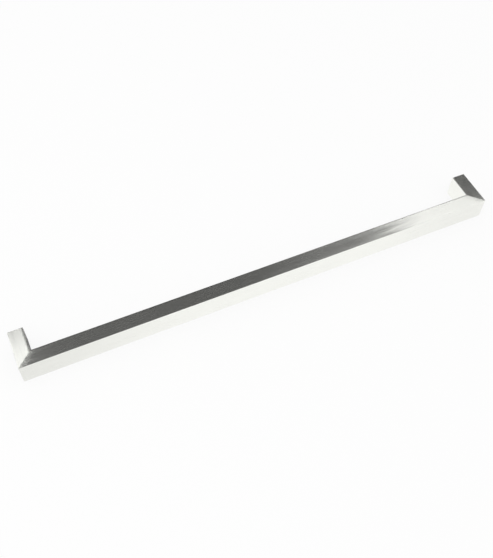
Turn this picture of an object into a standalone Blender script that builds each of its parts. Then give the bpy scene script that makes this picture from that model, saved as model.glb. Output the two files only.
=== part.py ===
"""Bar handle for an oven door, mitred from aluminium box section.

The handle lies as it is fitted: X runs along the grip, Y points to the oven door and Z points up.
The origin is at the middle of the underside. All lengths are in metres.
"""
from math import cos, pi, radians, sin, sqrt

import bmesh
import bpy
from mathutils import Matrix, Vector

# Overall size
HANDLE_LENGTH = 0.510
HANDLE_DEPTH = 0.042

# Box section that the grip and both legs are cut from
SECTION_DEPTH = 0.015
SECTION_HEIGHT = 0.025
WALL = 0.0015
OUTER_RADIUS = 0.0004
INNER_RADIUS = 0.0005
EDGE_BREAK = 0.0002

# Clearances between pieces
MITRE_GAP = 0.0003
FIT_GAP = 0.0003

# Corner cleat, an L-shaped casting with glue grooves and cored arms
CLEAT_GRIP_ARM = 0.024
CLEAT_WALL = 0.0022
CLEAT_LEAD = 0.0010
CORE_RADIUS = 0.0010
GROOVE_PITCH = 0.0036
GROOVE_WIDTH = 0.0016
GROOVE_DEPTH = 0.0007

# End plug, a moulded block that closes the leg and carries the threaded insert
PLUG_DEPTH = 0.013
PLUG_FLANGE = 0.0018
PLUG_SLOPE = 0.0004
PLUG_LEAD = 0.0006
PLUG_CORNER = 0.0011
PLUG_WALL = 0.0016
RIB_WIDTH = 0.0012
RIB_HEIGHT = 0.0005

# Threaded insert for an M5 screw, pushed through the plug from inside
INSERT_BORE_RADIUS = 0.0021
INSERT_SHANK_RADIUS = 0.0034
INSERT_NECK_RADIUS = 0.0030
INSERT_ACROSS_FLATS = 0.0080
INSERT_HEAD = 0.0028
INSERT_RECESS = 0.0003
INSERT_CHAMFER = 0.0003
BORE_CHAMFER = 0.0005
KNURL_DEPTH = 0.00025
KNURL_BAND = 0.0024
KNURL_SPACE = 0.0010
KNURL_TEETH = 24

# Fineness of round shapes, and how far a cutter reaches past the face that it opens
CORNER_STEPS = 6
ROUND_STEPS = 2 * KNURL_TEETH
SMOOTH_ANGLE = radians(35)
CUTTER_REACH = 0.001

# Sizes that follow from the ones above
MITRE_SHIFT = MITRE_GAP / sqrt(2)
INNER_CLEARANCE = WALL + FIT_GAP
PLUG_WIDTH = SECTION_DEPTH - 2 * INNER_CLEARANCE
PLUG_HEIGHT = SECTION_HEIGHT - 2 * INNER_CLEARANCE
POCKET_DEPTH = INSERT_HEAD + FIT_GAP
HEX_STEPS = ROUND_STEPS // 6

ALUMINIUM = ("brushed_aluminium", (0.80, 0.80, 0.79, 1.0), 1.0, 0.30)
CASTING = ("cast_aluminium", (0.58, 0.58, 0.58, 1.0), 1.0, 0.55)
NYLON = ("black_nylon", (0.03, 0.03, 0.03, 1.0), 0.0, 0.50)
BRASS = ("turned_brass", (0.80, 0.62, 0.30, 1.0), 1.0, 0.30)


def clear_scene():
    for existing in list(bpy.data.objects):
        bpy.data.objects.remove(existing, do_unlink=True)


def make_material(name, colour, metallic, roughness):
    material = bpy.data.materials.new(name)
    material.use_nodes = True
    shader = material.node_tree.nodes["Principled BSDF"]
    shader.inputs["Base Color"].default_value = colour
    shader.inputs["Metallic"].default_value = metallic
    shader.inputs["Roughness"].default_value = roughness
    material.diffuse_color = colour
    return material


def make_empty(name, location, parent=None):
    empty = bpy.data.objects.new(name, None)
    empty.location = location
    empty.parent = parent
    bpy.context.scene.collection.objects.link(empty)
    return empty


def make_mesh(name, solid, material=None, has_round_faces=True):
    """Turn a finished bmesh into a mesh with outward faces. Only a form with round faces is smooth."""
    bmesh.ops.recalc_face_normals(solid, faces=solid.faces)
    mesh = bpy.data.meshes.new(name)
    solid.to_mesh(mesh)
    solid.free()
    if has_round_faces:
        mesh.shade_smooth()
        mesh.set_sharp_from_angle(angle=SMOOTH_ANGLE)
    if material:
        mesh.materials.append(material)
    return mesh


def place(name, mesh, parent, location=(0.0, 0.0, 0.0)):
    piece = bpy.data.objects.new(name, mesh)
    piece.location = location
    piece.parent = parent
    bpy.context.scene.collection.objects.link(piece)
    return piece


def cut(piece, name, cutter_mesh):
    """Cut a hole in a piece with a hidden cutter that shares the piece's place."""
    cutter = place(name, cutter_mesh, piece.parent, piece.location)
    cutter.hide_render = True
    cutter.display_type = "WIRE"
    modifier = piece.modifiers.new(name, "BOOLEAN")
    modifier.operation = "DIFFERENCE"
    modifier.solver = "EXACT"
    modifier.object = cutter


def loft(rings, hollow=False):
    """Join rings with equally many points.

    A hollow loft joins its last ring to its first, as the wall of a tube does.
    Any other loft has a flat cap at each end.
    """
    solid = bmesh.new()
    loops = [[solid.verts.new(point) for point in ring] for ring in rings]
    pairs = list(zip(loops, loops[1:]))
    if hollow:
        pairs.append((loops[-1], loops[0]))
    else:
        solid.faces.new(loops[0])
        solid.faces.new(loops[-1])
    for first, second in pairs:
        for index in range(len(first)):
            after = (index + 1) % len(first)
            solid.faces.new((first[index], first[after], second[after], second[index]))
    return solid


def rounded_rectangle(low, high, radius):
    """Points round a rectangle between two opposite corners, anticlockwise, with round corners."""
    centres = (
        (high[0] - radius, high[1] - radius),
        (low[0] + radius, high[1] - radius),
        (low[0] + radius, low[1] + radius),
        (high[0] - radius, low[1] + radius),
    )
    points = []
    for quarter, (x, y) in enumerate(centres):
        for step in range(CORNER_STEPS + 1):
            angle = pi / 2 * (quarter + step / CORNER_STEPS)
            points.append((x + radius * cos(angle), y + radius * sin(angle)))
    return points


def section(inset, radius):
    """Outline of the box section, inset from its faces, as (across, up) from its lower outer corner."""
    return rounded_rectangle((inset, inset), (SECTION_DEPTH - inset, SECTION_HEIGHT - inset), radius)


def section_layers():
    """The outlines that a tube end passes through, from its outer skin to its bore.

    Each comes with how far it lies back from the cut, because the outer edges are broken.
    """
    skin = (section(0.0, OUTER_RADIUS), EDGE_BREAK)
    rim = (section(EDGE_BREAK, OUTER_RADIUS - EDGE_BREAK), 0.0)
    bore = (section(WALL, INNER_RADIUS), 0.0)
    return skin, rim, bore


def tube_rings(near_end, far_end):
    """Rings of a tube wall: out over the rim at one end, along, and back through the bore."""
    skin, rim, bore = section_layers()
    near = [near_end(outline, back) for outline, back in (rim, skin)]
    far = [far_end(outline, back) for outline, back in (skin, rim, bore)]
    return near + far + [near_end(*bore)]


def make_grip(material, handle):
    """The grip, with a mitre at each end. Its section's across is the distance from the front."""

    def mitred_end(side):
        def ring(outline, back):
            points = []
            for across, up in outline:
                along = HANDLE_LENGTH / 2 - across - MITRE_SHIFT - back
                points.append((side * along, across - HANDLE_DEPTH / 2, up))
            return points
        return ring

    solid = loft(tube_rings(mitred_end(-1), mitred_end(1)), hollow=True)
    place("grip_bar", make_mesh("grip_bar", solid, material), handle)


def make_leg(name, side, material, corner):
    """A leg, mitred at the front and square at the door. Across is the distance from the handle's end."""

    def mitred_end(outline, back):
        return [(-side * across, across + MITRE_SHIFT + back, up) for across, up in outline]

    def door_end(outline, back):
        return [(-side * across, HANDLE_DEPTH - back, up) for across, up in outline]

    solid = loft(tube_rings(mitred_end, door_end), hollow=True)
    place(name, make_mesh(name, solid, material), corner)


def grooved_edge(start, end, arm_start, arm_end):
    """Points from start to end along one edge of a cleat arm, with a notch at each glue groove.

    The arm has as many grooves as its length has room for, spread evenly from arm_start to arm_end.
    Material lies to the left of the edge.
    """
    heading = (end - start).normalized()
    inward = Vector((-heading.y, heading.x))
    groove_count = int((arm_end - arm_start).length / GROOVE_PITCH)
    centres = []
    for number in range(1, groove_count + 1):
        mark = arm_start.lerp(arm_end, number / (groove_count + 1))
        centres.append((mark - start).dot(heading))
    points = [start]
    for centre in sorted(centres):
        first = start + heading * (centre - GROOVE_WIDTH / 2)
        last = start + heading * (centre + GROOVE_WIDTH / 2)
        points += [first, first + inward * GROOVE_DEPTH, last + inward * GROOVE_DEPTH, last]
    points.append(end)
    return points


def cleat_outline():
    """Plan of a cleat as (distance from the handle's end, distance from its front)."""
    near = INNER_CLEARANCE
    far = SECTION_DEPTH - INNER_CLEARANCE
    grip_tip = SECTION_DEPTH + CLEAT_GRIP_ARM
    leg_tip = HANDLE_DEPTH - PLUG_DEPTH - FIT_GAP
    grip_arm = (Vector((SECTION_DEPTH, 0.0)), Vector((grip_tip - CLEAT_LEAD, 0.0)))
    leg_arm = (Vector((0.0, SECTION_DEPTH)), Vector((0.0, leg_tip - CLEAT_LEAD)))

    outline = grooved_edge(Vector((near, near)), Vector((grip_tip - CLEAT_LEAD, near)), *grip_arm)
    outline += [Vector((grip_tip, near + CLEAT_LEAD)), Vector((grip_tip, far - CLEAT_LEAD))]
    outline += grooved_edge(Vector((grip_tip - CLEAT_LEAD, far)), Vector((far, far)), *grip_arm)
    outline += grooved_edge(Vector((far, far)), Vector((far, leg_tip - CLEAT_LEAD)), *leg_arm)[1:]
    outline += [Vector((far - CLEAT_LEAD, leg_tip)), Vector((near + CLEAT_LEAD, leg_tip))]
    outline += grooved_edge(Vector((near, leg_tip - CLEAT_LEAD)), Vector((near, near)), *leg_arm)[:-1]
    return outline


def upright_prism(outline, side, low, high):
    """Solid with a plan outline in corner distances, between two heights."""
    rings = [[(-side * across, inward, height) for across, inward in outline] for height in (low, high)]
    return loft(rings)


def make_cleat(name, side, material, corner):
    """L-shaped corner casting. Both arms are cored from below, and the corner itself stays solid."""
    low = INNER_CLEARANCE
    high = SECTION_HEIGHT - INNER_CLEARANCE
    solid = upright_prism(cleat_outline(), side, low, high)
    cleat = place(name, make_mesh(name, solid, material, has_round_faces=False), corner)

    near = INNER_CLEARANCE + CLEAT_WALL
    far = SECTION_DEPTH - near
    grip_tip = SECTION_DEPTH + CLEAT_GRIP_ARM - CLEAT_WALL
    leg_tip = HANDLE_DEPTH - PLUG_DEPTH - FIT_GAP - CLEAT_WALL
    cores = {
        "grip_core": ((SECTION_DEPTH, near), (grip_tip, far)),
        "leg_core": ((near, SECTION_DEPTH), (far, leg_tip)),
    }
    for label, corners in cores.items():
        outline = rounded_rectangle(*corners, CORE_RADIUS)
        core = upright_prism(outline, side, low - CUTTER_REACH, high - CLEAT_WALL)
        core_name = f"{name}_{label}"
        cut(cleat, core_name, make_mesh(core_name, core))


def plug_section(inset, rib_height):
    """Section of the end plug as (across, up) from its middle: cut corners, and ribs on each side."""
    half_width = PLUG_WIDTH / 2 - inset
    half_height = PLUG_HEIGHT / 2 - inset
    upright_ribs = (-PLUG_HEIGHT / 4, PLUG_HEIGHT / 4)
    sides = (
        (half_width, half_height, upright_ribs),
        (half_height, half_width, (0.0,)),
        (half_width, half_height, upright_ribs),
        (half_height, half_width, (0.0,)),
    )
    outline = []
    for quarter, (out, span, ribs) in enumerate(sides):
        turn = Matrix.Rotation(pi / 2 * quarter, 2)
        profile = [(out - rib_height, PLUG_CORNER - span)]
        for rib in ribs:
            foot = RIB_WIDTH / 2 + RIB_HEIGHT
            profile += [
                (out - rib_height, rib - foot),
                (out, rib - RIB_WIDTH / 2),
                (out, rib + RIB_WIDTH / 2),
                (out - rib_height, rib + foot),
            ]
        profile.append((out - rib_height, span - PLUG_CORNER))
        outline += [turn @ Vector(point) for point in profile]
    return outline


def round_ring(depth, radius):
    """Ring about the fixing axis. A radius may be one value, or a function of the point's number."""
    points = []
    for number in range(ROUND_STEPS):
        angle = 2 * pi * number / ROUND_STEPS
        reach = radius(number) if callable(radius) else radius
        points.append((reach * sin(angle), -depth, reach * cos(angle)))
    return points


def hexagon(across_flats):
    """Radius of a hexagon at each point of a round ring, with a corner at the top."""

    def reach(number):
        from_flat = (number % HEX_STEPS - HEX_STEPS / 2) * 2 * pi / ROUND_STEPS
        return across_flats / 2 / cos(from_flat)

    return reach


def knurl(number):
    """Radius of the knurled shank, high and low in turn."""
    return INSERT_SHANK_RADIUS - KNURL_DEPTH * (number % 2)


def make_plug_mesh(material):
    """Outer form of the plug, from the flush flange at the door to the chamfered inner end."""
    layers = (
        (0.0, 0.0, 0.0),
        (PLUG_FLANGE, 0.0, 0.0),
        (PLUG_FLANGE + PLUG_SLOPE, 0.0, RIB_HEIGHT),
        (PLUG_DEPTH - PLUG_LEAD, 0.0, RIB_HEIGHT),
        (PLUG_DEPTH, PLUG_LEAD, RIB_HEIGHT),
    )
    rings = []
    for depth, inset, rib_height in layers:
        rings.append([(across, -depth, up) for across, up in plug_section(inset, rib_height)])
    return make_mesh("end_plug", loft(rings), material, has_round_faces=False)


def make_plug_hole():
    """Stepped hole for the insert: round for the shank, then six-sided for the head."""
    shank = INSERT_SHANK_RADIUS + FIT_GAP
    head = hexagon(INSERT_ACROSS_FLATS + 2 * FIT_GAP)
    pocket_floor = PLUG_DEPTH - POCKET_DEPTH
    rings = [
        round_ring(-CUTTER_REACH, shank),
        round_ring(pocket_floor, shank),
        round_ring(pocket_floor, head),
        round_ring(PLUG_DEPTH + CUTTER_REACH, head),
    ]
    return make_mesh("plug_hole", loft(rings))


def make_plug_core(direction):
    """Core that lightens the plug above or below the insert, open to the inside of the leg."""
    corner_reach = INSERT_ACROSS_FLATS / 2 / cos(pi / 6) + FIT_GAP
    inner = corner_reach + PLUG_WALL
    outer = PLUG_HEIGHT / 2 - RIB_HEIGHT - PLUG_WALL
    half_width = PLUG_WIDTH / 2 - RIB_HEIGHT - PLUG_WALL
    outline = rounded_rectangle((-half_width, inner), (half_width, outer), (outer - inner) / 4)
    rings = []
    for depth in (PLUG_FLANGE + PLUG_WALL, PLUG_DEPTH + CUTTER_REACH):
        rings.append([(across, -depth, direction * up) for across, up in outline])
    return make_mesh("plug_core", loft(rings))


def make_insert_mesh(material):
    """Turned bush: a chamfered pilot, two knurled bands, a neck and a six-sided head."""
    door_end = INSERT_RECESS
    head_start = PLUG_DEPTH - INSERT_HEAD
    head_end = PLUG_DEPTH
    rings = [
        round_ring(door_end, INSERT_NECK_RADIUS - INSERT_CHAMFER),
        round_ring(door_end + INSERT_CHAMFER, INSERT_NECK_RADIUS),
    ]
    band_start = door_end + KNURL_SPACE
    for _ in range(2):
        band_end = band_start + KNURL_BAND
        rings += [
            round_ring(band_start, INSERT_NECK_RADIUS),
            round_ring(band_start + INSERT_CHAMFER, knurl),
            round_ring(band_end - INSERT_CHAMFER, knurl),
            round_ring(band_end, INSERT_NECK_RADIUS),
        ]
        band_start = band_end + KNURL_SPACE
    rings += [
        round_ring(head_start, INSERT_NECK_RADIUS),
        round_ring(head_start, hexagon(INSERT_ACROSS_FLATS)),
        round_ring(head_end - INSERT_CHAMFER, hexagon(INSERT_ACROSS_FLATS)),
        round_ring(head_end, hexagon(INSERT_ACROSS_FLATS - 2 * INSERT_CHAMFER)),
        round_ring(head_end, INSERT_BORE_RADIUS + BORE_CHAMFER),
        round_ring(head_end - BORE_CHAMFER, INSERT_BORE_RADIUS),
        round_ring(door_end + BORE_CHAMFER, INSERT_BORE_RADIUS),
        round_ring(door_end, INSERT_BORE_RADIUS + BORE_CHAMFER),
    ]
    return make_mesh("threaded_insert", loft(rings, hollow=True), material)


def build_handle():
    clear_scene()
    aluminium = make_material(*ALUMINIUM)
    casting = make_material(*CASTING)
    handle = make_empty("handle", (0.0, 0.0, 0.0))
    make_grip(aluminium, handle)

    plug_mesh = make_plug_mesh(make_material(*NYLON))
    insert_mesh = make_insert_mesh(make_material(*BRASS))
    hole_mesh = make_plug_hole()
    core_meshes = {"upper": make_plug_core(1), "lower": make_plug_core(-1)}

    for word, side in (("left", -1), ("right", 1)):
        corner = make_empty(f"{word}_corner", (side * HANDLE_LENGTH / 2, -HANDLE_DEPTH / 2, 0.0), handle)
        make_leg(f"{word}_leg", side, aluminium, corner)
        make_cleat(f"{word}_corner_cleat", side, casting, corner)

        fixing = (-side * SECTION_DEPTH / 2, HANDLE_DEPTH, SECTION_HEIGHT / 2)
        plug = place(f"{word}_end_plug", plug_mesh, corner, fixing)
        cut(plug, f"{word}_plug_hole", hole_mesh)
        for label, core_mesh in core_meshes.items():
            cut(plug, f"{word}_plug_{label}_core", core_mesh)
        place(f"{word}_threaded_insert", insert_mesh, corner, fixing)


build_handle()
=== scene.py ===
"""Looks of the bar handle: brushed tubes with mitred corners, moulded plugs and threaded bushes.

X runs along the grip, Y points to the oven door and Z points up. All lengths are in metres.
"""

from math import cos, pi, radians, sin, tan

import bmesh
import bpy
from mathutils import Matrix, Vector


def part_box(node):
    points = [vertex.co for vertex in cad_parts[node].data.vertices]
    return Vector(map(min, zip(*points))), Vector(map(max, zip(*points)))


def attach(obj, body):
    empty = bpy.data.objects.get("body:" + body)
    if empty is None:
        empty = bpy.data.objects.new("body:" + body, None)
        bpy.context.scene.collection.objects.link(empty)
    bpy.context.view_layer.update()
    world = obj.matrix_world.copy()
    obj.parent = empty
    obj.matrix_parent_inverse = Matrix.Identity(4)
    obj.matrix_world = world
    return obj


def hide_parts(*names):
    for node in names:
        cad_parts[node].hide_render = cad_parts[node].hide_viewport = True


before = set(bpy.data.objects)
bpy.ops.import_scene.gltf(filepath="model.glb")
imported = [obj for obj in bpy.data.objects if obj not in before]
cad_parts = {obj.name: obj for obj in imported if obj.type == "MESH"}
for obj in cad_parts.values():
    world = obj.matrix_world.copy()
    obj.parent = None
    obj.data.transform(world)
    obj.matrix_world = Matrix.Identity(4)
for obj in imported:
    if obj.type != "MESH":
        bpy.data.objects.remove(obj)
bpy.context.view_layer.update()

# Camera, fitted to the corners and long edges of the handle in the photograph, with its turn in
# degrees and its lens in millimetres
CAMERA_PLACE = (-0.2142, -0.4041, 0.6466)
CAMERA_TURN = (34.992, -1.173, -24.298)
CAMERA_LENS = 49.41

# Tube section, the seam at each mitre, and how finely the edges are worked
WALL = 0.0015
OUTER_RADIUS = 0.0004
INNER_RADIUS = 0.0005
SEAM = 0.00006
EDGE_BREAK = 0.0002
CORNER_STEPS = 8
SHARP_ANGLE = radians(35)

# End plug, as moulded
PLUG_FLANGE = 0.0018
PLUG_SLOPE = 0.0004
PLUG_LEAD = 0.0006
PLUG_CORNER = 0.0011
PLUG_WALL = 0.0016
PLUG_FILLET = 0.00025
RIB_WIDTH = 0.0012
RIB_HEIGHT = 0.0005

# Threaded insert with its M5 thread
INSERT_BORE_RADIUS = 0.0021
INSERT_SHANK_RADIUS = 0.0034
INSERT_NECK_RADIUS = 0.0030
INSERT_HEAD = 0.0028
INSERT_CHAMFER = 0.0003
BORE_CHAMFER = 0.0005
KNURL_DEPTH = 0.00025
KNURL_BANDS = 2
KNURL_BAND = 0.0024
KNURL_SPACE = 0.0010
KNURL_TEETH = 24
THREAD_RADIUS = 0.0025
THREAD_PITCH = 0.0008
THREAD_ROOT = THREAD_PITCH / 8
THREAD_FLANK = radians(30)
FIT_GAP = 0.0003
CUTTER_REACH = 0.001
ROUND_STEPS = 4 * KNURL_TEETH
HEX_STEPS = ROUND_STEPS // 6
STEPS_PER_PITCH = 12

# How far brush marks of the legs run onto the grip, their share at the mitre, and its fall
OVERBRUSH = 0.018
OVERBRUSH_SHARE = 0.44
OVERBRUSH_FALL = 3.0

# How far the brushed faces lean along their grain, as a slope
GRIP_WAVINESS = 0.014
LEG_WAVINESS = 0.006

# Width of the strip that brushing has eased along the inner long edges, and its slope at the edge
GRIP_EASED = (0.0016, 0.42)
LEG_EASED = (0.0026, 0.32)

# Layers of the brushed grain: waves for each metre along it and across it, and detail
HAIRLINES = (12, 2600, 4.0)
BANDS = (7, 420, 2.0)
SCORES = (55, 5200, 1.0)
LONG_WAVES = (5, 70, 1.0)
SHORT_WAVES = (25, 800, 2.0)
CLOUDS = (40, 40, 2.0)

# Tones of the brushed aluminium, from the darker to the paler, and the hairlines' share in them
ALUMINIUM_TONES = ((0.975, 0.981, 0.933), (0.995, 1.0, 0.955))
HAIRLINE_SHARE = 0.35

# Roughness of the hairlines, how far clouds change it, and what a score adds
HAIRLINE_ROUGHNESS = (0.22, 0.28)
CLOUD_ROUGHNESS = 0.015
SCORE_ROUGHNESS = 0.06

# Values between which one noise, a mean of two and a sum of two mostly lie, and between which
# noise becomes a score
NOISE_RANGE = (0.3, 0.7)
MEAN_RANGE = (0.35, 0.65)
SUM_RANGE = (0.7, 1.3)
SCORE_RANGE = (0.70, 0.80)

# Share of plain white in the floor that the camera sees. The rest is paper that takes the shadow
FLOOR_WHITE = 0.84

# Level of the world's plain light on the handle. The camera sees it at 1
PLAIN_LIGHT = 0.8

# Places that the frame gives
GRIP_LOW, GRIP_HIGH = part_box("grip_bar")
LEG_LOW, LEG_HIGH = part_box("left_leg")
PLUG_LOW, PLUG_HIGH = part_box("right_end_plug")
INSERT_LOW, INSERT_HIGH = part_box("right_threaded_insert")
HALF_LENGTH = -LEG_LOW.x
FRONT = GRIP_LOW.y
DOOR = LEG_HIGH.y
SECTION_DEPTH = GRIP_HIGH.y - GRIP_LOW.y
SECTION_HEIGHT = GRIP_HIGH.z - GRIP_LOW.z
PLUG_WIDTH = PLUG_HIGH.x - PLUG_LOW.x
PLUG_HEIGHT = PLUG_HIGH.z - PLUG_LOW.z
PLUG_DEPTH = PLUG_HIGH.y - PLUG_LOW.y
INSERT_RECESS = PLUG_HIGH.y - INSERT_HIGH.y
INSERT_ACROSS_FLATS = INSERT_HIGH.x - INSERT_LOW.x
FIXING = Vector(((PLUG_LOW.x + PLUG_HIGH.x) / 2, DOOR, (PLUG_LOW.z + PLUG_HIGH.z) / 2))


def rounded_rectangle(low, high, radius):
    """Points round a rectangle between two opposite corners, anticlockwise, with round corners."""
    centres = (
        (high[0] - radius, high[1] - radius),
        (low[0] + radius, high[1] - radius),
        (low[0] + radius, low[1] + radius),
        (high[0] - radius, low[1] + radius),
    )
    points = []
    for quarter, (across, up) in enumerate(centres):
        for step in range(CORNER_STEPS + 1):
            angle = pi / 2 * (quarter + step / CORNER_STEPS)
            points.append((across + radius * cos(angle), up + radius * sin(angle)))
    return points


def loft(rings, hollow=False):
    """Join rings with equally many points, with a cap at each end or, if hollow, last to first."""
    solid = bmesh.new()
    loops = [[solid.verts.new(point) for point in ring] for ring in rings]
    pairs = list(zip(loops, loops[1:]))
    if hollow:
        pairs.append((loops[-1], loops[0]))
    else:
        solid.faces.new(loops[0])
        solid.faces.new(loops[-1])
    for first, second in pairs:
        for index in range(len(first)):
            after = (index + 1) % len(first)
            solid.faces.new((first[index], first[after], second[after], second[index]))
    return solid


def make_object(name, solid, location=(0.0, 0.0, 0.0)):
    bmesh.ops.recalc_face_normals(solid, faces=solid.faces)
    mesh = bpy.data.meshes.new(name)
    solid.to_mesh(mesh)
    solid.free()
    thing = bpy.data.objects.new(name, mesh)
    thing.location = location
    bpy.context.scene.collection.objects.link(thing)
    return thing


def finish_piece(piece, material, node):
    """Shade a piece, keep flat faces flat beside their rounded edges, and tie it to the frame."""
    piece.data.shade_smooth()
    piece.data.set_sharp_from_angle(angle=SHARP_ANGLE)
    normals = piece.modifiers.new("flat_faces", "WEIGHTED_NORMAL")
    normals.keep_sharp = True
    piece.data.materials.append(material)
    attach(piece, "root")
    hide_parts(node)


def carve(piece, cutters):
    """Cut the cutters out of a piece, apply the cuts and remove the cutters."""
    for cutter in cutters:
        modifier = piece.modifiers.new(cutter.name, "BOOLEAN")
        modifier.operation = "DIFFERENCE"
        modifier.object = cutter
    carved = piece.evaluated_get(bpy.context.evaluated_depsgraph_get())
    piece.data = bpy.data.meshes.new_from_object(carved)
    piece.modifiers.clear()
    for cutter in cutters:
        bpy.data.objects.remove(cutter)


def tube_rings(near_end, far_end):
    """Rings of a tube wall: out over the rim at one end, along, and back through the bore."""

    def section(inset, radius):
        far_corner = (SECTION_DEPTH - inset, SECTION_HEIGHT - inset)
        return rounded_rectangle((inset, inset), far_corner, radius)

    skin = (section(0.0, OUTER_RADIUS), EDGE_BREAK)
    rim = (section(EDGE_BREAK, OUTER_RADIUS - EDGE_BREAK), 0.0)
    bore = (section(WALL, INNER_RADIUS), 0.0)
    near = [near_end(*layer) for layer in (rim, skin)]
    far = [far_end(*layer) for layer in (skin, rim, bore)]
    return near + far + [near_end(*bore)]


def make_grip(material):
    """The grip, with a mitre at each end. Across is the distance from its front."""

    def mitred_end(side):
        def ring(outline, back):
            length = HALF_LENGTH - SEAM / 2 - back
            return [(side * (length - across), FRONT + across, up) for across, up in outline]
        return ring

    grip = make_object("grip_tube", loft(tube_rings(mitred_end(-1), mitred_end(1)), hollow=True))
    finish_piece(grip, material, "grip_bar")


def make_leg(word, side, material):
    """A leg, mitred at the front, square at the door. Across is the distance from its outside."""

    def leg_ring(outline, place):
        return [(side * (HALF_LENGTH - across), place(across), up) for across, up in outline]

    def mitred_end(outline, back):
        return leg_ring(outline, lambda across: FRONT + SEAM / 2 + back + across)

    def door_end(outline, back):
        return leg_ring(outline, lambda across: DOOR - back)

    leg = make_object(f"{word}_leg_tube", loft(tube_rings(mitred_end, door_end), hollow=True))
    finish_piece(leg, material, f"{word}_leg")


def plug_section(inset, rib_height):
    """Section of the end plug as (across, up) from its middle, with round corners and ribs."""
    half_width = PLUG_WIDTH / 2 - inset
    half_height = PLUG_HEIGHT / 2 - inset
    upright_ribs = (-PLUG_HEIGHT / 4, PLUG_HEIGHT / 4)
    sides = (
        (half_width, half_height, upright_ribs),
        (half_height, half_width, (0.0,)),
        (half_width, half_height, upright_ribs),
        (half_height, half_width, (0.0,)),
    )
    foot = RIB_WIDTH / 2 + RIB_HEIGHT
    outline = []
    for quarter, (out, span, ribs) in enumerate(sides):
        turn = Matrix.Rotation(pi / 2 * quarter, 2)
        profile = []
        for rib in ribs:
            profile += [
                (out - rib_height, rib - foot),
                (out, rib - RIB_WIDTH / 2),
                (out, rib + RIB_WIDTH / 2),
                (out - rib_height, rib + foot),
            ]
        centre = Vector((out - rib_height - PLUG_CORNER, span - rib_height - PLUG_CORNER))
        for step in range(CORNER_STEPS + 1):
            angle = pi / 2 * step / CORNER_STEPS
            profile.append(centre + PLUG_CORNER * Vector((cos(angle), sin(angle))))
        outline += [turn @ Vector(point) for point in profile]
    return outline


def flat_ring(outline, depth, flip=1):
    """An outline about the fixing axis, at a depth behind the door's face. -1 flips it over."""
    return [(across, -depth, flip * up) for across, up in outline]


def round_ring(depth, radius):
    """Ring about the fixing axis. Its radius is one value, or a function of a point's number."""
    points = []
    for number in range(ROUND_STEPS):
        angle = 2 * pi * number / ROUND_STEPS
        reach = radius(number) if callable(radius) else radius
        points.append((reach * sin(angle), -depth, reach * cos(angle)))
    return points


def hexagon(across_flats):
    """Radius of a hexagon at each point of a round ring, with a corner at the top."""

    def reach(number):
        from_flat = (number % HEX_STEPS - HEX_STEPS / 2) * 2 * pi / ROUND_STEPS
        return across_flats / 2 / cos(from_flat)

    return reach


def make_plug(word, fixing, material):
    """Moulded plug: a flange with a soft edge, ribbed sides, a hexagonal pocket and two cores."""
    layers = []
    for step in reversed(range(CORNER_STEPS + 1)):
        angle = pi / 2 * step / CORNER_STEPS
        layers.append((PLUG_FILLET * (1 - sin(angle)), PLUG_FILLET * (1 - cos(angle)), 0.0))
    layers += [
        (PLUG_FLANGE, 0.0, 0.0),
        (PLUG_FLANGE + PLUG_SLOPE, 0.0, RIB_HEIGHT),
        (PLUG_DEPTH - PLUG_LEAD, 0.0, RIB_HEIGHT),
        (PLUG_DEPTH, PLUG_LEAD, RIB_HEIGHT),
    ]
    rings = [flat_ring(plug_section(inset, rib), depth) for depth, inset, rib in layers]
    plug = make_object(f"{word}_plug_moulding", loft(rings), fixing)

    shank = INSERT_SHANK_RADIUS + FIT_GAP
    head = hexagon(INSERT_ACROSS_FLATS + 2 * FIT_GAP)
    pocket_floor = PLUG_DEPTH - INSERT_HEAD - FIT_GAP
    hole = make_object("plug_hole", loft([
        round_ring(-CUTTER_REACH, shank),
        round_ring(pocket_floor, shank),
        round_ring(pocket_floor, head),
        round_ring(PLUG_DEPTH + CUTTER_REACH, head),
    ]), fixing)

    inner = INSERT_ACROSS_FLATS / 2 / cos(pi / 6) + FIT_GAP + PLUG_WALL
    outer = PLUG_HEIGHT / 2 - RIB_HEIGHT - PLUG_WALL
    half_width = PLUG_WIDTH / 2 - RIB_HEIGHT - PLUG_WALL
    outline = rounded_rectangle((-half_width, inner), (half_width, outer), (outer - inner) / 4)
    ends = (PLUG_FLANGE + PLUG_WALL, PLUG_DEPTH + CUTTER_REACH)
    cores = []
    for flip in (1, -1):
        rings = [flat_ring(outline, depth, flip) for depth in ends]
        cores.append(make_object("plug_core", loft(rings), fixing))
    carve(plug, [hole] + cores)
    finish_piece(plug, material, f"{word}_end_plug")


def knurl(number):
    """Radius of the knurled shank, rising and falling once for each tooth."""
    wave = 1 - cos(2 * pi * number * KNURL_TEETH / ROUND_STEPS)
    return INSERT_SHANK_RADIUS - KNURL_DEPTH * wave / 2


def thread(depth, near_end, far_end):
    """Radius of the threaded bore at each point: a helical groove between two countersinks."""
    from_end = min(depth - near_end, far_end - depth)
    countersink = INSERT_BORE_RADIUS + BORE_CHAMFER - from_end

    def reach(number):
        place = (depth / THREAD_PITCH - number / ROUND_STEPS) % 1.0
        from_root = abs(place - 0.5) * THREAD_PITCH
        groove = THREAD_RADIUS - max(0.0, from_root - THREAD_ROOT / 2) / tan(THREAD_FLANK)
        return max(INSERT_BORE_RADIUS, groove, countersink)

    return reach


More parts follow.
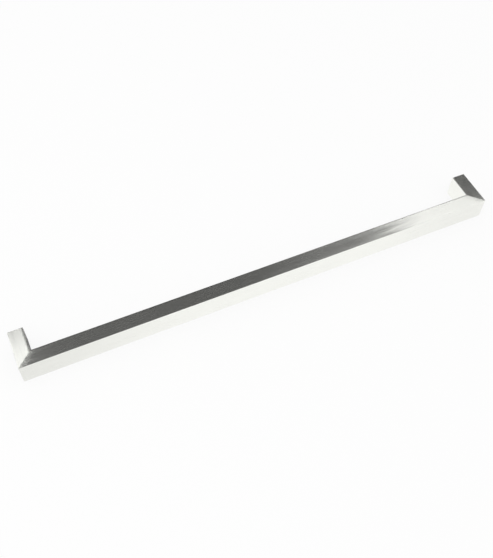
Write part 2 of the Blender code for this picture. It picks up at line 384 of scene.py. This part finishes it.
def make_insert(word, fixing, material):
    """Turned bush: a chamfered pilot, two knurled bands, a six-sided head and an M5 thread."""
    door_end = INSERT_RECESS
    head_start = PLUG_DEPTH - INSERT_HEAD
    rings = [
        round_ring(door_end, INSERT_NECK_RADIUS - INSERT_CHAMFER),
        round_ring(door_end + INSERT_CHAMFER, INSERT_NECK_RADIUS),
    ]
    band_start = door_end + KNURL_SPACE
    for _ in range(KNURL_BANDS):
        band_end = band_start + KNURL_BAND
        rings += [
            round_ring(band_start, INSERT_NECK_RADIUS),
            round_ring(band_start + INSERT_CHAMFER, knurl),
            round_ring(band_end - INSERT_CHAMFER, knurl),
            round_ring(band_end, INSERT_NECK_RADIUS),
        ]
        band_start = band_end + KNURL_SPACE
    rings += [
        round_ring(head_start, INSERT_NECK_RADIUS),
        round_ring(head_start, hexagon(INSERT_ACROSS_FLATS)),
        round_ring(PLUG_DEPTH - INSERT_CHAMFER, hexagon(INSERT_ACROSS_FLATS)),
        round_ring(PLUG_DEPTH, hexagon(INSERT_ACROSS_FLATS - 2 * INSERT_CHAMFER)),
    ]
    steps = round((PLUG_DEPTH - door_end) / THREAD_PITCH * STEPS_PER_PITCH)
    for step in range(steps + 1):
        depth = PLUG_DEPTH + (door_end - PLUG_DEPTH) * step / steps
        rings.append(round_ring(depth, thread(depth, door_end, PLUG_DEPTH)))
    insert = make_object(f"{word}_brass_bush", loft(rings, hollow=True), fixing)
    finish_piece(insert, material, f"{word}_threaded_insert")


class Nodes:
    """Writes a node tree's arithmetic and textures in few lines."""

    def __init__(self, tree):
        self.tree = tree

    def link(self, value, socket):
        """Link an output to a socket, or set the socket where the value is a plain one."""
        if isinstance(value, bpy.types.NodeSocket):
            self.tree.links.new(value, socket)
        else:
            socket.default_value = value

    def op(self, operation, *values):
        node = self.tree.nodes.new("ShaderNodeMath")
        node.operation = operation
        for value, socket in zip(values, node.inputs):
            self.link(value, socket)
        return node.outputs["Value"]

    def total(self, values):
        result = values[0]
        for value in values[1:]:
            result = self.op("ADD", result, value)
        return result

    def product(self, values):
        result = values[0]
        for value in values[1:]:
            result = self.op("MULTIPLY", result, value)
        return result

    def ramp(self, value, start, end, low=0.0, high=1.0, smooth=True):
        """Low up to start and high past end, with a smooth or a straight change between."""
        node = self.tree.nodes.new("ShaderNodeMapRange")
        node.interpolation_type = "SMOOTHSTEP" if smooth else "LINEAR"
        self.link(value, node.inputs["Value"])
        self.link(start, node.inputs["From Min"])
        self.link(end, node.inputs["From Max"])
        self.link(low, node.inputs["To Min"])
        self.link(high, node.inputs["To Max"])
        return node.outputs["Result"]

    def between(self, noise, low, high):
        """Noise drawn out so that it mostly runs from low to high."""
        return self.ramp(noise, *NOISE_RANGE, low, high, smooth=False)

    def place(self):
        """Position on the piece, in the row frame or about the piece's own fixing."""
        return self.tree.nodes.new("ShaderNodeTexCoord").outputs["Object"]

    def split(self, vector):
        node = self.tree.nodes.new("ShaderNodeSeparateXYZ")
        self.link(vector, node.inputs["Vector"])
        return [node.outputs[letter] for letter in "XYZ"]

    def noise(self, vector, scale, detail):
        """Noise from 0 to 1. Scale is in waves for each metre along X, Y and Z."""
        mapping = self.tree.nodes.new("ShaderNodeMapping")
        mapping.inputs["Scale"].default_value = scale
        self.link(vector, mapping.inputs["Vector"])
        node = self.tree.nodes.new("ShaderNodeTexNoise")
        node.inputs["Scale"].default_value = 1.0
        node.inputs["Detail"].default_value = detail
        self.link(mapping.outputs["Vector"], node.inputs["Vector"])
        return node.outputs["Fac"]

    def speckle(self, vector):
        """An even spread of values from 0 to 1, a new one at each point."""
        node = self.tree.nodes.new("ShaderNodeTexWhiteNoise")
        self.link(vector, node.inputs["Vector"])
        return node.outputs["Value"]

    def tangent(self, axis):
        """Direction on the surface across a grain that runs along the axis."""
        node = self.tree.nodes.new("ShaderNodeTangent")
        node.direction_type = "RADIAL"
        node.axis = axis
        return node.outputs["Tangent"]

    def colours(self, factor, first, second):
        node = self.tree.nodes.new("ShaderNodeMix")
        node.data_type = "RGBA"
        self.link(factor, node.inputs["Factor"])
        node.inputs["A"].default_value = (*first, 1.0)
        node.inputs["B"].default_value = (*second, 1.0)
        return node.outputs["Result"]

    def vector(self, operation, *values):
        node = self.tree.nodes.new("ShaderNodeVectorMath")
        node.operation = operation
        for value, socket in zip(values, node.inputs):
            self.link(value, socket)
        return node.outputs["Vector"]

    def leaning_normal(self, leans):
        """The surface's normal, leaning by a slope along each axis that is given."""
        tilt = self.tree.nodes.new("ShaderNodeCombineXYZ")
        for axis, lean in leans.items():
            self.link(lean, tilt.inputs[axis])
        upright = self.tree.nodes.new("ShaderNodeNewGeometry").outputs["Normal"]
        return self.vector("NORMALIZE", self.vector("ADD", upright, tilt.outputs["Vector"]))

    def vectors(self, factor, first, second):
        node = self.tree.nodes.new("ShaderNodeMix")
        node.data_type = "VECTOR"
        self.link(factor, node.inputs["Factor"])
        ends = [socket for socket in node.inputs
                if socket.type == "VECTOR" and socket.name in ("A", "B")]
        for vector, socket in zip((first, second), ends):
            self.link(vector, socket)
        return next(socket for socket in node.outputs if socket.type == "VECTOR")

    def bump(self, height, shader, depth, normal=None):
        node = self.tree.nodes.new("ShaderNodeBump")
        node.inputs["Distance"].default_value = depth
        self.link(height, node.inputs["Height"])
        if normal:
            self.link(normal, node.inputs["Normal"])
        self.link(node.outputs["Normal"], shader.inputs["Normal"])


def new_material(name, colour, metallic, roughness):
    material = bpy.data.materials.new(name)
    material.use_nodes = True
    shader = material.node_tree.nodes["Principled BSDF"]
    shader.inputs["Base Color"].default_value = (*colour, 1.0)
    shader.inputs["Metallic"].default_value = metallic
    shader.inputs["Roughness"].default_value = roughness
    return material, Nodes(material.node_tree), shader


def brushed_metal(name, axis, waviness):
    """Clear anodised aluminium with a fine brushed grain along one axis.

    Brushing has eased a strip along each inner long edge. On the grip, marks from brushing the
    legs cross the mitres and thin out.
    """
    material, nodes, shader = new_material(name, (0.93, 0.93, 0.91), 1.0, 0.25)
    shader.inputs["Anisotropic"].default_value = 1.0
    place = nodes.place()
    x, y, _ = nodes.split(place)
    from_end = nodes.op("SUBTRACT", HALF_LENGTH, nodes.op("ABSOLUTE", x))
    across_grain = nodes.tangent(axis)

    def eased(across, width, slope):
        """Slope of the eased strip. Across is the distance from the outer long edge."""
        return nodes.ramp(across, SECTION_DEPTH - width, SECTION_DEPTH, 0.0, slope)

    if axis == "X":
        from_front = nodes.op("SUBTRACT", y, FRONT)
        leans = {"Y": eased(from_front, *GRIP_EASED)}
        from_mitre = nodes.op("SUBTRACT", from_end, from_front)
        back = FRONT + SECTION_DEPTH
        reach = nodes.ramp(y, FRONT, back, OVERBRUSH, OVERBRUSH / 2, smooth=False)
        near = nodes.ramp(from_mitre, reach, 0.0, smooth=False)
        share = nodes.op("MULTIPLY", OVERBRUSH_SHARE, nodes.op("POWER", near, OVERBRUSH_FALL))
        crossed = nodes.op("LESS_THAN", nodes.speckle(place), share)
        across_grain = nodes.vectors(crossed, across_grain, nodes.tangent("Y"))
    else:
        inwards = nodes.op("MULTIPLY", nodes.op("SIGN", x), -1.0)
        leans = {"X": nodes.op("MULTIPLY", inwards, eased(from_end, *LEG_EASED))}
    nodes.link(across_grain, shader.inputs["Tangent"])

    def grain(along, across, detail):
        """Noise that is stretched along the brushing."""
        scale = (along, across, across) if axis == "X" else (across, along, across)
        return nodes.noise(place, scale, detail)

    hairlines = grain(*HAIRLINES)
    bands = grain(*BANDS)
    clouds = grain(*CLOUDS)
    scores = nodes.ramp(grain(*SCORES), *SCORE_RANGE)

    tone = nodes.total([
        nodes.op("MULTIPLY", hairlines, HAIRLINE_SHARE),
        nodes.op("MULTIPLY", bands, 1.0 - HAIRLINE_SHARE),
    ])
    tone = nodes.ramp(tone, *MEAN_RANGE, smooth=False)
    nodes.link(nodes.colours(tone, *ALUMINIUM_TONES), shader.inputs["Base Color"])

    spread = nodes.total([
        nodes.between(hairlines, *HAIRLINE_ROUGHNESS),
        nodes.between(clouds, -CLOUD_ROUGHNESS, CLOUD_ROUGHNESS),
        nodes.op("MULTIPLY", scores, SCORE_ROUGHNESS),
    ])
    nodes.link(spread, shader.inputs["Roughness"])

    waves = nodes.total([grain(*LONG_WAVES), grain(*SHORT_WAVES)])
    leans[axis] = nodes.ramp(waves, *SUM_RANGE, -waviness, waviness, smooth=False)
    height = nodes.op("SUBTRACT", hairlines, nodes.op("MULTIPLY", scores, 0.5))
    nodes.bump(height, shader, depth=0.000004, normal=nodes.leaning_normal(leans))
    return material


def cast_metal():
    """Die-cast aluminium: a matt, finely pitted skin with faint flow marks."""
    material, nodes, shader = new_material("cast_metal", (0.58, 0.58, 0.58), 1.0, 0.55)
    place = nodes.place()
    flow = nodes.noise(place, (120, 120, 60), 4.0)
    pits = nodes.noise(place, (1800, 1800, 1800), 3.0)
    tone = nodes.colours(flow, (0.50, 0.50, 0.51), (0.64, 0.64, 0.63))
    nodes.link(tone, shader.inputs["Base Color"])
    nodes.link(nodes.between(pits, 0.48, 0.66), shader.inputs["Roughness"])
    nodes.bump(pits, shader, depth=0.00006)
    return material


def moulded_nylon():
    """Black nylon with the fine grain of a spark-eroded mould and slightly shiny flow marks."""
    material, nodes, shader = new_material("moulded_nylon", (0.03, 0.03, 0.03), 0.0, 0.5)
    place = nodes.place()
    grain = nodes.noise(place, (3200, 3200, 3200), 3.0)
    flow = nodes.noise(place, (260, 90, 260), 3.0)
    tone = nodes.colours(flow, (0.022, 0.022, 0.023), (0.042, 0.042, 0.041))
    nodes.link(tone, shader.inputs["Base Color"])
    nodes.link(nodes.between(flow, 0.42, 0.58), shader.inputs["Roughness"])
    nodes.bump(grain, shader, depth=0.00003)
    return material


def turned_brass():
    """Brass with turning marks round the fixing axis and a slight uneven tarnish."""
    material, nodes, shader = new_material("turned_brass", (0.80, 0.62, 0.30), 1.0, 0.28)
    place = nodes.place()
    x, y, z = nodes.split(place)
    squares = [nodes.op("MULTIPLY", part, part) for part in (x, z)]
    lathe = nodes.tree.nodes.new("ShaderNodeCombineXYZ")
    nodes.link(nodes.op("SQRT", nodes.total(squares)), lathe.inputs["X"])
    nodes.link(y, lathe.inputs["Y"])
    marks = nodes.noise(lathe.outputs["Vector"], (9000, 9000, 1), 2.0)
    tarnish = nodes.noise(place, (500, 500, 500), 4.0)
    tone = nodes.colours(tarnish, (0.86, 0.68, 0.34), (0.68, 0.48, 0.22))
    nodes.link(tone, shader.inputs["Base Color"])
    rough = nodes.total([
        nodes.between(marks, 0.20, 0.34),
        nodes.ramp(tarnish, 0.4, 0.8, 0.0, 0.15, smooth=False),
    ])
    nodes.link(rough, shader.inputs["Roughness"])
    nodes.bump(marks, shader, depth=0.00001)
    return material


def floor_paper():
    """White paper that shows as plain white and keeps a part of the handle's shadow.

    Metal sees its glow greyer with painted shade towards both ends and behind the handle, and with
    a painted shadow of the left leg.
    """
    material, nodes, shader = new_material("floor_paper", (0.97, 0.97, 0.97), 0.0, 0.9)
    shader.inputs["Specular IOR Level"].default_value = 0.0
    light_path = nodes.tree.nodes.new("ShaderNodeLightPath")
    share = nodes.op("MULTIPLY", light_path.outputs["Is Camera Ray"], FLOOR_WHITE)
    share = nodes.op("ADD", share, light_path.outputs["Is Glossy Ray"])
    x, y, _ = nodes.split(nodes.place())
    # Painted shade in the floor's glow, seen only by metal: a painted shadow beside the left leg,
    # greyer behind the handle and towards both ends
    painted_leg_shadow = nodes.product([
        nodes.ramp(x, -0.250, -0.2401),
        nodes.ramp(x, -0.170, -0.232, 0.0, 0.85),
        nodes.ramp(y, -0.010, -0.005),
    ])
    behind = nodes.product([nodes.ramp(y, 0.06, 0.14, 0.0, 0.85), nodes.ramp(x, -0.20, -0.10)])
    left = nodes.ramp(x, -0.08, -0.25, 0.0, 0.13)
    far_left = nodes.ramp(x, -0.262, -0.300, 0.0, 0.4)
    right = nodes.product([nodes.ramp(x, 0.10, 0.26, 0.0, 0.08), nodes.ramp(y, -0.010, -0.020)])
    painted_shade = nodes.total([left, far_left, right, nodes.op("MAXIMUM", painted_leg_shadow, behind)])
    white = nodes.tree.nodes.new("ShaderNodeEmission")
    # Glossy rays see the white glow dimmed by this painted shade
    seen = nodes.op("MULTIPLY", painted_shade, light_path.outputs["Is Glossy Ray"])
    nodes.link(nodes.op("SUBTRACT", 1.0, seen), white.inputs["Strength"])
    mix = nodes.tree.nodes.new("ShaderNodeMixShader")
    nodes.link(share, mix.inputs["Fac"])
    nodes.link(shader.outputs["BSDF"], mix.inputs[1])
    nodes.link(white.outputs["Emission"], mix.inputs[2])
    nodes.link(mix.outputs["Shader"], nodes.tree.nodes["Material Output"].inputs["Surface"])
    return material


def make_camera():
    data = bpy.data.cameras.new("camera")
    data.lens = CAMERA_LENS
    camera = bpy.data.objects.new("camera", data)
    camera.location = CAMERA_PLACE
    camera.rotation_euler = [radians(angle) for angle in CAMERA_TURN]
    bpy.context.scene.collection.objects.link(camera)
    bpy.context.scene.camera = camera


def make_floor():
    sheet = bmesh.new()
    bmesh.ops.create_grid(sheet, x_segments=1, y_segments=1, size=6.0)
    floor = make_object("floor", sheet)
    floor.data.materials.append(floor_paper())


def make_lamp():
    """A large soft lamp above the left. Metal reflects the world's panels in its place."""
    data = bpy.data.lights.new("soft_lamp", "AREA")
    data.shape = "DISK"
    data.size = 1.6
    data.energy = 4.5
    lamp = bpy.data.objects.new("soft_lamp", data)
    lamp.location = (-0.7, -0.2, 1.3)
    lamp.rotation_euler = (-lamp.location).to_track_quat("-Z", "Y").to_euler()
    lamp.visible_glossy = False
    bpy.context.scene.collection.objects.link(lamp)


def panel(nodes, direction, strength, across, along=()):
    """Light panel in the reflected sky.

    Across and along hold its edges in x and in y. Each is where it starts and where it is full.
    """
    factors = [strength]
    for value, edges in zip(direction, (across, along)):
        factors += [nodes.ramp(value, start, full) for start, full in edges]
    return nodes.product(factors)


def studio_glow(nodes, direction):
    """How bright the studio is that metal reflects, by the direction in which it looks."""
    x, y, z = direction

    # Pale walls low down, which end at the back on the right
    walls = nodes.product([
        nodes.ramp(z, 0.45, 0.15, 0.0, 0.5),
        nodes.op("MAXIMUM", nodes.ramp(y, 0.45, 0.15), nodes.ramp(x, -0.10, -0.50)),
    ])

    # Light from the front, weaker on the left and overhead
    front = nodes.product([
        nodes.ramp(y, -0.25, -0.55, 0.0, 0.85),
        nodes.ramp(x, -0.40, -0.10, 0.25, 1.0),
        nodes.ramp(z, 0.70, 0.40, 0.3, 1.0),
    ])

    # Panels on the right, which the grip's top shows. The right leg's top shows the gap in them
    gap_edges = nodes.product([nodes.ramp(y, 0.43, 0.39), nodes.ramp(y, -0.20, 0.20)])
    gap_edges = nodes.op("ADD", gap_edges, nodes.ramp(y, 0.570, 0.600))
    right = nodes.total([
        nodes.ramp(x, 0.22, 0.42, 0.0, 0.29),
        panel(nodes, direction, 2.02, [(0.421, 0.442)], [(0.70, 0.50)]),
        panel(nodes, direction, 0.75, [(0.445, 0.457), (0.490, 0.470)]),
    ])

    # Dim ceiling, walls, front and left, then four panels for the left leg's top
    return nodes.total([
        0.042,
        walls,
        nodes.ramp(y, 0.05, -0.30, 0.0, 0.3),
        front,
        nodes.ramp(x, -0.35, -0.65, 0.0, 0.15),
        panel(nodes, direction, 0.9, [(0.0, -0.25), (-0.65, -0.40)], [(0.20, 0.45)]),
        panel(nodes, direction, 0.8, [(-0.55, -0.75)], [(0.25, 0.35), (0.54, 0.49)]),
        panel(nodes, direction, 0.6, [(0.45, 0.10)], [(0.49, 0.51), (0.59, 0.53)]),
        panel(nodes, direction, 2.55, [(-0.04, -0.16), (-0.60, -0.40)],
              [(0.49, 0.51), (0.577, 0.526)]),
        nodes.op("MULTIPLY", right, gap_edges),
    ])


def make_world():
    """Plain white light, with a studio of panels in place of it for reflections in metal."""
    world = bpy.data.worlds.new("studio")
    bpy.context.scene.world = world
    world.use_nodes = True
    tree = world.node_tree
    tree.nodes.clear()
    nodes = Nodes(tree)
    direction = nodes.split(tree.nodes.new("ShaderNodeTexCoord").outputs["Generated"])
    reflected = tree.nodes.new("ShaderNodeBackground")
    nodes.link(studio_glow(nodes, direction), reflected.inputs["Strength"])
    plain = tree.nodes.new("ShaderNodeBackground")
    plain.inputs["Color"].default_value = (1.0, 1.0, 1.0, 1.0)
    light_path = tree.nodes.new("ShaderNodeLightPath")
    camera_ray = light_path.outputs["Is Camera Ray"]
    plain_level = nodes.ramp(camera_ray, 0.0, 1.0, PLAIN_LIGHT, 1.0, smooth=False)
    nodes.link(plain_level, plain.inputs["Strength"])
    choice = tree.nodes.new("ShaderNodeMixShader")
    nodes.link(light_path.outputs["Is Glossy Ray"], choice.inputs["Fac"])
    nodes.link(plain.outputs["Background"], choice.inputs[1])
    nodes.link(reflected.outputs["Background"], choice.inputs[2])
    output = tree.nodes.new("ShaderNodeOutputWorld")
    nodes.link(choice.outputs["Shader"], output.inputs["Surface"])


make_camera()
make_floor()
make_lamp()
make_world()
bpy.context.scene.view_settings.view_transform = "Standard"

make_grip(brushed_metal("brushed_along_grip", "X", GRIP_WAVINESS))
leg_metal = brushed_metal("brushed_along_leg", "Y", LEG_WAVINESS)
nylon = moulded_nylon()
brass = turned_brass()
casting = cast_metal()
for word, side in (("left", -1), ("right", 1)):
    fixing = (side * FIXING.x, FIXING.y, FIXING.z)
    make_leg(word, side, leg_metal)
    make_plug(word, fixing, nylon)
    make_insert(word, fixing, brass)
    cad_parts[f"{word}_corner_cleat"].material_slots[0].material = casting
